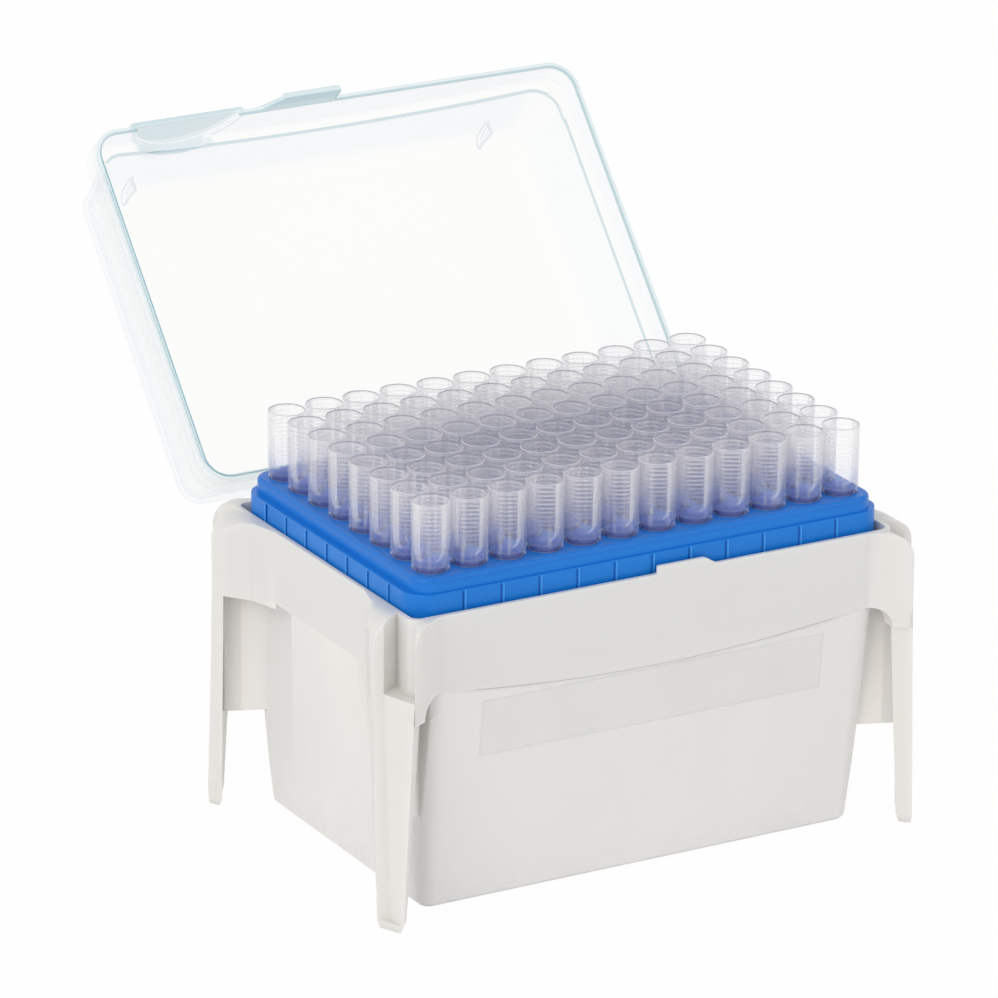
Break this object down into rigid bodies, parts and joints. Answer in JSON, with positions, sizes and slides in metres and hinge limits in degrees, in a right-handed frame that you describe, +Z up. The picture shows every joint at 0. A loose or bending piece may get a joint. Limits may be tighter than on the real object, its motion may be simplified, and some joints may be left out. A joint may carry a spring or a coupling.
{
  "type": "box of pipette tips",
  "caption": "Hinged rack of clear pipette tips: a blue plate with a grid of tips in a white box on four corner legs, under a clear lid that swings open.",
  "frame": {"origin": "centre of the tub's underside, on the plane the legs stand on", "axes": "+Z up; +X along the rows of twelve tips; +Y towards the hinge at the back"},
  "size_m": [0.1306, 0.1628, 0.1365],
  "materials": {
    "box_white": "white polypropylene, fine matt skin",
    "plate_blue": "blue polypropylene, smooth",
    "tip_clear": "clear polypropylene, slightly milky",
    "lid_clear": "clear polystyrene, glossy",
    "label_film": "thin blank film"
  },
  "bodies": {
    "base": {"rack_box": "box_white", "tip_plate": "plate_blue", "label": "label_film", "tips_column_1": "tip_clear", "tips_column_2": "tip_clear", "tips_column_3": "tip_clear", "tips_column_4": "tip_clear", "tips_column_5": "tip_clear", "tips_column_6": "tip_clear", "tips_column_7": "tip_clear", "tips_column_8": "tip_clear", "tips_column_9": "tip_clear", "tips_column_10": "tip_clear", "tips_column_11": "tip_clear", "tips_column_12": "tip_clear"},
    "lid": {"lid": "lid_clear"}
  },
  "joints": [
    {"name": "lid_hinge", "type": "hinge", "parent": "base", "child": "lid", "pos_m": [0, 0.0448, 0.068], "axis": [1, 0, 0], "range_deg": [0, 131.8]}
  ]
}
